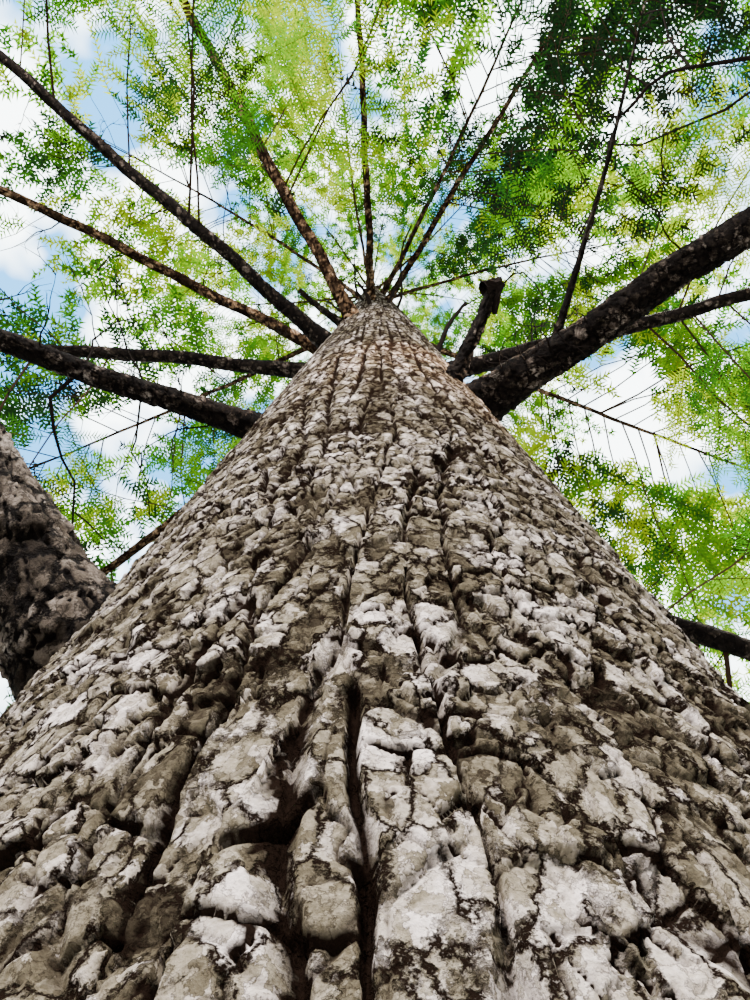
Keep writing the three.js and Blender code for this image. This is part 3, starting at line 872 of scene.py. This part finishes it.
# Bark of the boughs below SUNLIT_FROM, painted near-black as their shade
SHADED_LIMB_BARK = bark_material(
    "dark limb bark",
    [
        (0.32, 0.005, 0.0035, 0.003), (0.5, 0.012, 0.009, 0.007), (0.6, 0.035, 0.026, 0.02),
        (0.7, 0.12, 0.095, 0.08), (0.85, 0.28, 0.24, 0.21),
    ],
    (0.002, 0.0012, 0.001), 0.012, 0.0012, 1.6, 0.05,
)
PLATED_BARK = bark_material(
    "cracked limb bark",
    [
        (0.3, 0.016, 0.012, 0.009), (0.45, 0.045, 0.035, 0.027), (0.56, 0.1, 0.08, 0.064),
        (0.68, 0.2, 0.165, 0.14), (0.82, 0.4, 0.35, 0.31),
    ],
    (0.002, 0.0012, 0.001), 0.03, 0.0025, 1.8, 0.04,
)
# The same limb bark painted lighter and warmer as sunlight, for the boughs above SUNLIT_FROM and the crown's
SUNLIT_BARK = bark_material(
    "sunlit limb bark",
    [
        (0.32, 0.012, 0.008, 0.005), (0.48, 0.045, 0.028, 0.017), (0.58, 0.13, 0.08, 0.045),
        (0.68, 0.3, 0.19, 0.11), (0.82, 0.5, 0.35, 0.23),
    ],
    (0.006, 0.0035, 0.0025), 0.02, 0.0016, 1.6, 0,
)
TWIG_WOOD = plain_wood("brown twig", (0.02, 0.01, 0.006), (0.05, 0.028, 0.018))
DARK_WOOD = plain_wood("dark dead wood", (0.002, 0.0014, 0.0012), (0.018, 0.013, 0.011))
LEAVES = {name: leaf_material(f"{name} needles", *colours) for name, colours in SHADES.items()}


def bark_piece(name, points, faces, furrow, flake, made_of, slot, replaced):
    piece = new_piece(name, points, faces, made_of, slot, replaced, smooth=True)
    # furrow: how dark the bark is painted, its own dark with painted shade and painted shadow; flake: tones
    for key, values in (("furrow", furrow), ("flake", flake)):
        layer = piece.data.attributes.new(key, "FLOAT", "POINT")
        layer.data.foreach_set("value", values.astype(np.float32).ravel())


# Trunk with the bark's relief, in pieces from the ground up


PATTERN_RADIUS = 250  # the radius that the bark's pattern is laid out for
# The bark's plates grow longer between these heights, by how fast
PLATES_FROM = 2000
PLATES_UPTO = 3050
PLATES_GROW = 260
FURROWS_OPENED = 2.1  # how much wider furrows are higher up
HIGH_RELIEF = 0.6  # how deep the relief is there
BARK_STANDS_OUT = 3


def trunk_piece(name, turns, start, *heights):
    """A piece of the trunk. turns holds runs of degrees, from its back past the side that the camera sees."""
    height = spaced(start, *heights)[:, None]
    turn = math.radians(270) + np.radians(spaced(-180, *turns)[:-1])
    faces = grid_faces(len(height), len(turn))
    height, turn = np.broadcast_arrays(height, turn)
    past = np.clip(height, PLATES_FROM, PLATES_UPTO) - PLATES_FROM
    growing = PLATES_GROW * np.log((past + PLATES_GROW) / PLATES_GROW)
    slowest = PLATES_GROW / (PLATES_UPTO - PLATES_FROM + PLATES_GROW)
    along = np.minimum(height, PLATES_FROM) + growing + slowest * np.maximum(0, height - PLATES_UPTO)
    opened = blend(1, FURROWS_OPENED, smooth_step(1780, 2250, height))
    girth = 2 * math.pi * PATTERN_RADIUS
    # furrow holds the bark's painted darkness, painted shade and shadow included
    out, furrow, flake = bark_relief(turn / (2 * np.pi) % 1, along, girth, TRUNK_PATTERN, 1.0, opened)
    out = out * blend(1, HIGH_RELIEF, smooth_step(1850, 2700, height)) + BARK_STANDS_OUT
    radius = trunk_radius(height, turn) + out * np.minimum(1, stem_radius(height) / PATTERN_RADIUS)
    points = trunk_centre(height) + np.stack([radius * np.cos(turn), radius * np.sin(turn), 0 * height], -1)
    bark_piece(f"trunk_{name}", points.reshape(-1, 3), faces, furrow, flake, BARK, "bark", ["trunk"])


nearest_turns = [(-110, 4), (-58, 1.4), (-30, 0.6), (30, 0.21), (58, 0.6), (110, 1.4), (180, 4)]
near_turns = [(-110, 4), (-64, 0.9), (-40, 0.5), (40, 0.28), (64, 0.5), (110, 0.9), (180, 4)]
fine_turns = [(-110, 3.5), (-62, 0.9), (62, 0.38), (110, 0.9), (180, 3.5)]
middle_turns = [(-85, 3), (85, 1.1), (180, 3)]
trunk_piece("foot", middle_turns, 0, (1300, 18), (1480, 9))
trunk_piece("nearest", nearest_turns, 1478, (1535, 3), (1640, 0.9))
trunk_piece("near", near_turns, 1638, (1760, 1.15))
trunk_piece("breast", fine_turns, 1758, (2000, 1.9), (2120, 3))
trunk_piece("crotch", [(-100, 3), (100, 0.58), (180, 3)], 2118, (2500, 4), (2700, 6))
trunk_piece("boughs", middle_turns, 2696, (4000, 16), (6000, 30))
trunk_piece("top", [(180, 3.4)], 5990, (12000, 45), (19300, 90), (20000, 50))


# Limbs with the bark's relief, from inside the trunk to their tips


LARGER_PLATES = {"low_left": 1.5, "dead_stub_right": 2.2}
BARK_END = 0.985  # share of a bough's reach where its bark ends
STUB_END = 0.98
SUNLIT_FROM = 3800  # boughs that start above this height get bark painted as sunlit, those below bark painted as shaded


def limb_surface(limb, along, columns, relief):
    along = along[:, None] + np.zeros(columns)
    turn = np.arange(columns) / columns + 0 * along
    angle = 2 * np.pi * turn
    radius = limb_radius(limb, along)
    across, over = limb_frame(unit(limb_point(limb, along + 1) - limb_point(limb, along - 1)))
    waver = limb["radius"] ** -0.5 * np.minimum(1, along / 300) * radius
    phase = 2.4 * limb["heading"]
    aside = waver * (np.sin(along / 115 + phase) + 0.5 * np.sin(along / 43 + phase))
    higher = waver * (np.sin(along / 93 - phase) + 0.4 * np.sin(along / 37))
    girth = 2 * math.pi * limb["radius"]
    scale = max(0.5, min(1, limb["radius"] / 33)) * LARGER_PLATES.get(limb["name"], 1)
    # furrow holds the bark's painted darkness, painted shade and shadow included
    out, furrow, flake = bark_relief(turn, along, girth, LIMB_PATTERN, scale)
    radius = radius + relief * out * blend(1, 0.3, along / limb["reach"])
    aside = aside + np.cos(angle) * radius
    higher = higher + np.sin(angle) * radius
    points = limb_point(limb, along) + across * aside[..., None] + over * higher[..., None]
    return points.reshape(-1, 3), grid_faces(len(along), columns), furrow.ravel(), flake.ravel()


def boughs_piece(name, limbs, made_of, fine, step, columns, relief, kind="bough"):
    """The bark of one or more limbs. fine holds the runs of finer steps that come before the others."""
    surfaces = []
    for limb in limbs:
        along = spaced(0, *fine, (limb["reach"] * BARK_END, step))
        surfaces.append(limb_surface(limb, along, columns, relief))
    bark_piece(name, *joined(surfaces), made_of, "bough_bark", nodes(kind, limbs))


# Most lower boughs and the stubs get bark with painted shade, the higher and crown boughs bark with painted
# sunlight
near_boughs = ("low_left", "left", "right")
shaded_boughs = [limb for limb in BARE_LIMBS if limb["height"] <= SUNLIT_FROM]
lower_boughs = [limb for limb in shaded_boughs if limb["name"] not in near_boughs]
sunlit_boughs = [limb for limb in BARE_LIMBS if limb["height"] > SUNLIT_FROM]
crown_boughs = [limb for limb in LIMBS if not limb["bare"]]
boughs_piece("bough_low_left_bark", named("low_left"), PLATED_BARK, [(640, 2.2)], 14, 104, 0.6)
boughs_piece("bough_left_bark", named("left"), SHADED_LIMB_BARK, [(650, 3)], 14, 54, 0.9)
boughs_piece("bough_right_bark", named("right"), SHADED_LIMB_BARK, [(900, 3)], 14, 72, 0.9)
boughs_piece("boughs_lower", lower_boughs, SHADED_LIMB_BARK, [(700, 8)], 20, 20, 0.8)
boughs_piece("boughs_sunlit", sunlit_boughs, SUNLIT_BARK, [(700, 8)], 20, 20, 0.8)
boughs_piece("boughs_crown", crown_boughs, SUNLIT_BARK, [], 60, 8, 0.5, "foliage")

STUBS = [limb_from_trunk(STUB_KEYS, row) for row in STUB_ROWS]
stub_surfaces = [limb_surface(stub, spaced(0, (stub["reach"] * STUB_END, 2.5)), 36, 1.4) for stub in STUBS]
bark_piece("dead_stubs", *joined(stub_surfaces), SHADED_LIMB_BARK, "dead_wood", [stub["name"] for stub in STUBS])

# Dead twigs: crooked and forked, from the lower limbs


def crooked(starts, ways, lengths, steps, kink, droop, random):
    """Rows of points that wander from their starts."""
    points = [starts]
    for _ in range(steps):
        ways = unit(ways + kink * random.normal(0, 1, ways.shape) - UP * droop)
        points.append(points[-1] + ways * (lengths / steps)[:, None])
    return np.stack(points, 1)


def crooked_tubes(rows, radii, tip_share, sides=3, rough=0.0):
    """Tapering tubes along crooked rows of points, rough where wanted."""
    stations = rows.shape[1]
    ways = unit(np.gradient(rows, axis=1))
    across = unit(np.cross(ways, np.array([0.31, 0.17, 0.94])))
    station = np.arange(stations)[:, None]
    lumps = rough * np.sin(2.3 * (np.arange(sides) * 2 * np.pi / sides) * station + 1.7 * station)
    thick = radii[:, None] * np.linspace(1, tip_share, stations)
    return tubes(rows, across, np.cross(ways, across), thick[:, :, None] * (1 + lumps), sides)


def forks(rows, count, length, spread, random):
    """Starts, ways and lengths of the side twigs of crooked rows."""
    number, stations, _ = rows.shape
    owner = np.repeat(np.arange(number), count)
    place = random.integers(stations // 4, stations - 1, len(owner))
    starts = rows[owner, place]
    ahead = unit(rows[owner, place + 1] - starts)
    whole = np.linalg.norm(rows[:, -1] - rows[:, 0], axis=-1)[owner]
    ways = unit(ahead + spread * unit(random.normal(0, 1, ahead.shape)))
    return starts, ways, length * whole * random.uniform(0.5, 1.2, len(owner))


def dead_twigs(limb, count, random):
    """Starts, ways and lengths of a limb's dead twigs, closest at its foot and mostly to its sides."""
    places = limb["buried"] + 60 + (0.75 * limb["reach"] - limb["buried"]) * random.uniform(0, 1, count) ** 2
    turns = np.pi * random.integers(0, 2, count) + random.normal(0, 0.45, count)
    starts = limb_point(limb, places)
    ahead = unit(limb_point(limb, places + 1) - starts)
    across, over = limb_frame(ahead)
    ways = unit(across * np.cos(turns)[:, None] + over * np.sin(turns)[:, None] + 0.5 * ahead)
    longest = (0.35 + 0.65 * places / limb["reach"]) * 620 * min(1, limb["reach"] / 2500)
    return starts, ways, longest * random.uniform(0.2, 1.0, count)


dead_random = np.random.default_rng(SEED + 1)
twig_rows = zip(*[dead_twigs(limb, 20, dead_random) for limb in BARE_LIMBS])
dead_starts, dead_ways, dead_lengths = [np.concatenate(row) for row in twig_rows]
first = crooked(dead_starts, dead_ways, dead_lengths, 12, 0.2, 0.03, dead_random)
second = crooked(*forks(first, 3, 0.5, 0.9, dead_random), 6, 0.22, 0.03, dead_random)
third = crooked(*forks(second, 2, 0.5, 0.9, dead_random), 3, 0.25, 0.03, dead_random)
dead_parts = [
    crooked_tubes(first, 0.9 + 0.007 * dead_lengths, 0.2),
    crooked_tubes(second, np.repeat(0.7 + 0.0035 * dead_lengths, 3), 0.25),
    crooked_tubes(third, np.repeat(0.6 + 0.0018 * dead_lengths, 6), 0.3),
]
new_piece("dead_twigs", *joined(dead_parts), DARK_WOOD, "bough_bark", nodes("bough", BARE_LIMBS))

# Snags on the trunk: height, azimuth, the way they run, their slope, length and radius
SNAG_ROWS = [
    (5200, -75, -40, 0.3, 230, 9), (4900, -98, -100, 0.6, 150, 12), (5050, -60, -72, 0.5, 450, 8),
    (3350, -45, -37, 0.6, 210, 9), (2860, 196, 182, 0.1, 90, 5), (4450, 236, 240, 0.8, 260, 7),
    (5700, -110, -120, 0.5, 300, 8),
]
height, at, heading, rise, length, radius = np.array(SNAG_ROWS, float).T
at, heading = np.radians(at), np.radians(heading)
inside = 0.9 * stem_radius(height)[:, None]
starts = trunk_centre(height) + inside * np.stack([np.cos(at), np.sin(at), 0 * at], -1)
ways = unit(np.stack([np.cos(heading), np.sin(heading), rise], -1))
snags = crooked(starts, ways, length, 10, 0.13, 0.0, dead_random)
snag_forks = crooked(*forks(snags, 2, 0.5, 0.8, dead_random), 8, 0.15, 0.0, dead_random)
snag_parts = [
    crooked_tubes(snags, radius, 0.45, 9, 0.12),
    crooked_tubes(snag_forks, np.repeat(0.3 * radius, 2), 0.3, 9),
]
# The broken end of the right stub: a hollow knob lying across it, a spur and a thin twig
stub_tip = limb_point(STUBS[0], STUBS[0]["reach"] * STUB_END)
for offsets, thickness, taper in (
    ([(-21, 5, -5), (-17, 4, -3), (-10, 1, 0), (0, -1, 2), (8, -3, 3), (14, -4, 3)], 13, 0.8),
    ([(13, -4, 3), (8, 2, 0), (6, 12, -5), (3, 28, -11), (1, 40, -14), (0, 48, -16)], 9, 0.5),
    ([(18, -4, 4), (34, -20, 6), (52, -22, 8), (72, -4, 2), (86, 18, -8)], 2, 0.5),
):
    snag_parts.append(crooked_tubes((stub_tip + offsets)[None], np.array([thickness]), taper, 13, 0.2))
new_piece("snags", *joined(snag_parts), DARK_WOOD, "dead_wood", None)

# Crooked twigs beside the near boughs: the bough and the place on it where each leaves, its radius, and its
# points, across and up from the line of finest growth in thousandths of the way along it, and that way
CROOKED_ROWS = [
    ("right", 850, 4, [
        (521, 614, 1170), (438, 601, 1200), (407, 594, 1220), (379, 575, 1240), (358, 549, 1260),
        (340, 533, 1290), (326, 499, 1320), (314, 431, 1350), (299, 396, 1380), (282, 364, 1400),
    ]),
    ("right", 830, 3.2, [
        (521, 567, 1150), (486, 542, 1180), (451, 528, 1210), (401, 507, 1250), (369, 493, 1280),
        (328, 494, 1315),
    ]),
    (None, 0, 2.6, [(438, 601, 1200), (418, 625, 1230), (407, 646, 1250), (389, 715, 1300)]),
    (None, 0, 2.2, [(379, 575, 1240), (347, 597, 1260), (314, 625, 1290), (285, 701, 1330)]),
    (None, 0, 1.7, [(401, 507, 1250), (397, 479, 1270), (401, 444, 1290), (394, 388, 1310)]),
    (None, 0, 1.7, [(314, 625, 1290), (271, 618, 1310), (236, 603, 1330), (201, 592, 1350)]),
    (None, 0, 1.7, [(340, 533, 1290), (299, 533, 1310), (236, 539, 1340), (208, 556, 1350)]),
    ("left", 400, 3.4, [
        (-451, 142, 1130), (-446, 97, 1150), (-435, 58, 1190), (-417, 25, 1230),
        (-419, -14, 1260), (-421, -62, 1290),
    ]),
    (None, 0, 1.8, [(-417, -17, 1260), (-399, -31, 1270), (-376, -56, 1290), (-347, -83, 1310)]),
    ("left", 310, 1.9, [(-332, 83, 1180), (-338, 67, 1190), (-317, 28, 1220), (-312, -28, 1240)]),
    ("left", 400, 2.4, [(-393, 206, 1150), (-392, 222, 1160), (-360, 247, 1190), (-333, 253, 1210)]),
]
crooked_parts = []
for bough, leaves, thickness, offsets in CROOKED_ROWS:
    across, up, along = (np.array(offsets) * (0.001, 0.001, 1)).T[..., None]
    points = FINE_EYE + along * (FINE_WAY + across * np.array([1.0, 0, 0]) + up * FINE_UP)
    if bough:
        points = np.vstack([limb_point(named(bough)[0], leaves), points])
    crooked_parts.append(crooked_tubes(points[None], np.array([thickness]), 0.45, 7, 0.1))
new_piece("crooked_twigs", *joined(crooked_parts), DARK_WOOD, "bough_bark", None)

# Foliage
random = np.random.default_rng(SEED)
twigs = main_twigs()
count = len(twigs["length"])
twigs["sag"] = np.full(count, 0.06)
twigs.update(bends(count, 0.1, 0.06, random))


def by_mass(table, otherwise):
    """Each main twig's value, from a table by the name of its mass."""
    return np.array([table.get(limb["name"], otherwise) for limb in LIMBS])[twigs["mass"]]


twigs["closer"] = by_mass(CLOSER, 1)
# Each twig's shade: the painted sunlight and shade of its mass, spread at random
twigs["shade"] = by_mass(SUNNY, SUNNY_ELSEWHERE) + random.normal(0, 0.2, count)
twigs["coarse"] = coarseness(twigs["start"])
twiglets = side_stems(
    twigs, TWIGLET_SPACING * twigs["coarse"] ** 0.9, 0.14, (58, 34), SPRAY_FORM, 1000, 0.1, 7, random
)
twiglets = taken(twiglets, clear(twiglets) & left_at_gaps(twiglets, random))
twiglets["shade"] = twiglets["shade"] + random.normal(0, 0.13, len(twiglets["shade"]))
sides = side_stems(
    twiglets, SIDE_SPACING * twiglets["coarse"], 0.06, (56, 42), SIDE_FORM, SIDE_LONGEST, 0.05, 6, random
)
sides = taken(sides, left_at_gaps(sides, random))

sets = [
    needle_corners(twigs, NEEDLE_SPACING * 1.6, 0.45, random),
    needle_corners(twiglets, NEEDLE_SPACING, 0.03, random),
    needle_corners(sides, NEEDLE_SPACING, 0.0, random),
]
needle_points, needle_mass, levels, needle_near = [np.concatenate(parts) for parts in zip(*sets)]
needle_shade = (np.clip(levels, 0, 0.999) * len(SHADES)).astype(int)
for number, name in enumerate(SHADES):
    for place, near, corners in (("near", True, 4), ("far", False, 3)):
        rows = np.flatnonzero((needle_shade == number) & (needle_near == near))
        points = needle_points[rows, :corners].reshape(-1, 3)
        faces = np.arange(len(points)).reshape(-1, corners)
        masses = [LIMBS[mass] for mass in np.unique(needle_mass[rows])]
        new_piece(f"{place}_needles_{name}", points, faces, LEAVES[name], "needles", nodes("foliage", masses))

fine_sides = taken(sides, sides["coarse"] < NEAR_COARSE)
fine_radius = np.full(len(fine_sides["length"]), 0.8)
for name, stems, radius, tip_share, steps in (
    ("twigs", twigs, 0.004 * twigs["length"], 0.3, 7),
    ("twiglets", twiglets, 1.1 * np.sqrt(twiglets["coarse"]), 0.4, 3),
    ("side_stems", fine_sides, fine_radius, 0.5, 1),
):
    points, faces = stem_tubes(stems, radius, tip_share, steps)
    new_piece(name, points, faces, TWIG_WOOD, "needles", nodes("foliage", LIMBS))

# Floor, light and camera
bpy.ops.mesh.primitive_plane_add(size=60)
floor = bpy.context.object
floor.name = "floor"
floor.data.materials.append(material("pale floor", 0.9, 0.5, (0.24, 0.235, 0.23))[0])

world = bpy.data.worlds.new("pale sky")
world.use_nodes = True
sky = world.node_tree
way = add(sky, "TexCoord").outputs["Generated"]
height = add(sky, "SeparateXYZ", {"Vector": way}).outputs["Z"]
cloud = add(sky, "TexNoise", {"Vector": way, "Scale": 7, "Detail": 3}).outputs["Fac"]
patches = ramp(sky, cloud, [(0.42, 0.045, 0.2, 0.42), (0.56, 0.9, 1.0, 1.0)])
patches = mix(sky, mask(sky, height, 0.5, 0.68), (0.85, 0.92, 0.92), patches)
brightness = ramp(sky, height, [(0.0, 0.03, 0.03, 0.03), (0.5, 0.12, 0.12, 0.12), (0.82, 1, 1, 1)])
background = sky.nodes["Background"]
sky.links.new(mix(sky, 1.0, patches, brightness, "MULTIPLY"), background.inputs["Color"])
background.inputs["Strength"].default_value = 9.0
bpy.context.scene.world = world


def lamp(name, kind, energy, colour, place, target, **settings):
    data = bpy.data.lights.new(name, kind)
    for key, value in {"energy": energy, "color": colour, **settings}.items():
        setattr(data, key, value)
    made = placed(name, data)
    made.location = place
    made.rotation_mode = "QUATERNION"
    made.rotation_quaternion = Vector(np.subtract(place, target)).to_track_quat("Z", "Y")


lamp("sun", "SUN", 18, (1.0, 0.9, 0.76), (9, -6, 24), (0, 0, 4), angle=0.12)
lamp("front light", "AREA", 290, (1.0, 0.92, 0.88), (-0.6, -2.2, 3.6), (0, -0.2, 1.85), size=0.7)
lamp(
    "sun patch", "SPOT", 420, (1.0, 0.68, 0.45), (0.8, -0.8, 3.45), (0.15, -0.12, 2.7),
    spot_size=0.55, spot_blend=0.6, shadow_soft_size=0.03,
)

camera_data = bpy.data.cameras.new("camera")
camera_data.lens = 25.92
camera_data.sensor_width = 36
camera_data.clip_start = 0.01
camera_data.clip_end = 200
camera = placed("camera", camera_data)
camera.location = (0, -0.38, 1.45)
camera.rotation_euler = (math.radians(90 + 71.7), 0, 0)
bpy.context.scene.camera = camera
